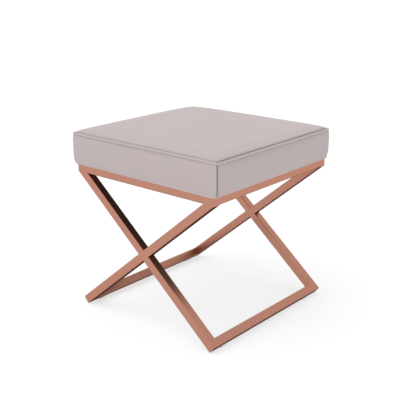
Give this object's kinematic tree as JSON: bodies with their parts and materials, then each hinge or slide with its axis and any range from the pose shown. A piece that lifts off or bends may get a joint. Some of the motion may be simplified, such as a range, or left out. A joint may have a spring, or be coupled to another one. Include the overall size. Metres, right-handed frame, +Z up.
{
  "type": "upholstered stool",
  "caption": "Square upholstered stool: a box cushion with a piped top edge on crossed, leaning U-frames of rose-copper square tube, tied together by a level top frame.",
  "frame": {"origin": "on the floor, under the centre of the stool", "axes": "+Z up; +X to the right along the crossed legs; -Y to the front, the side with the crossed legs that is nearer in the picture"},
  "size_m": [0.439, 0.439, 0.4406],
  "materials": {
    "rose_copper": "satin",
    "glide_nylon": "matte",
    "zinc_steel": "satin",
    "upholstery": "matte",
    "upholstery_welt": "matte",
    "plywood": "matte",
    "foam": "matte",
    "fibre": "matte",
    "dust_cloth": "matte"
  },
  "bodies": {
    "root": {"back_boxing": "upholstery", "back_left_floor_glide": "glide_nylon", "back_left_seat_plate": "rose_copper", "back_lower_half_leg": "rose_copper", "back_right_floor_glide": "glide_nylon", "back_right_seat_plate": "rose_copper", "back_through_leg": "rose_copper", "back_top_rail": "rose_copper", "back_upper_half_leg": "rose_copper", "cloth_staples": "zinc_steel", "cover_staples": "zinc_steel", "dust_cloth": "dust_cloth", "fibre_wrap": "fibre", "foam_core": "foam", "front_boxing": "upholstery", "front_left_floor_glide": "glide_nylon", "front_left_seat_plate": "rose_copper", "front_lower_half_leg": "rose_copper", "front_right_floor_glide": "glide_nylon", "front_right_seat_plate": "rose_copper", "front_through_leg": "rose_copper", "front_top_rail": "rose_copper", "front_upper_half_leg": "rose_copper", "left_boxing": "upholstery", "left_floor_rail": "rose_copper", "left_top_rail": "rose_copper", "right_boxing": "upholstery", "right_floor_rail": "rose_copper", "right_top_rail": "rose_copper", "seat_board": "plywood", "seat_screws": "zinc_steel", "seat_washers": "zinc_steel", "tee_nuts": "zinc_steel", "top_panel": "upholstery", "welt_piping": "upholstery_welt"}
  },
  "joints": []
}
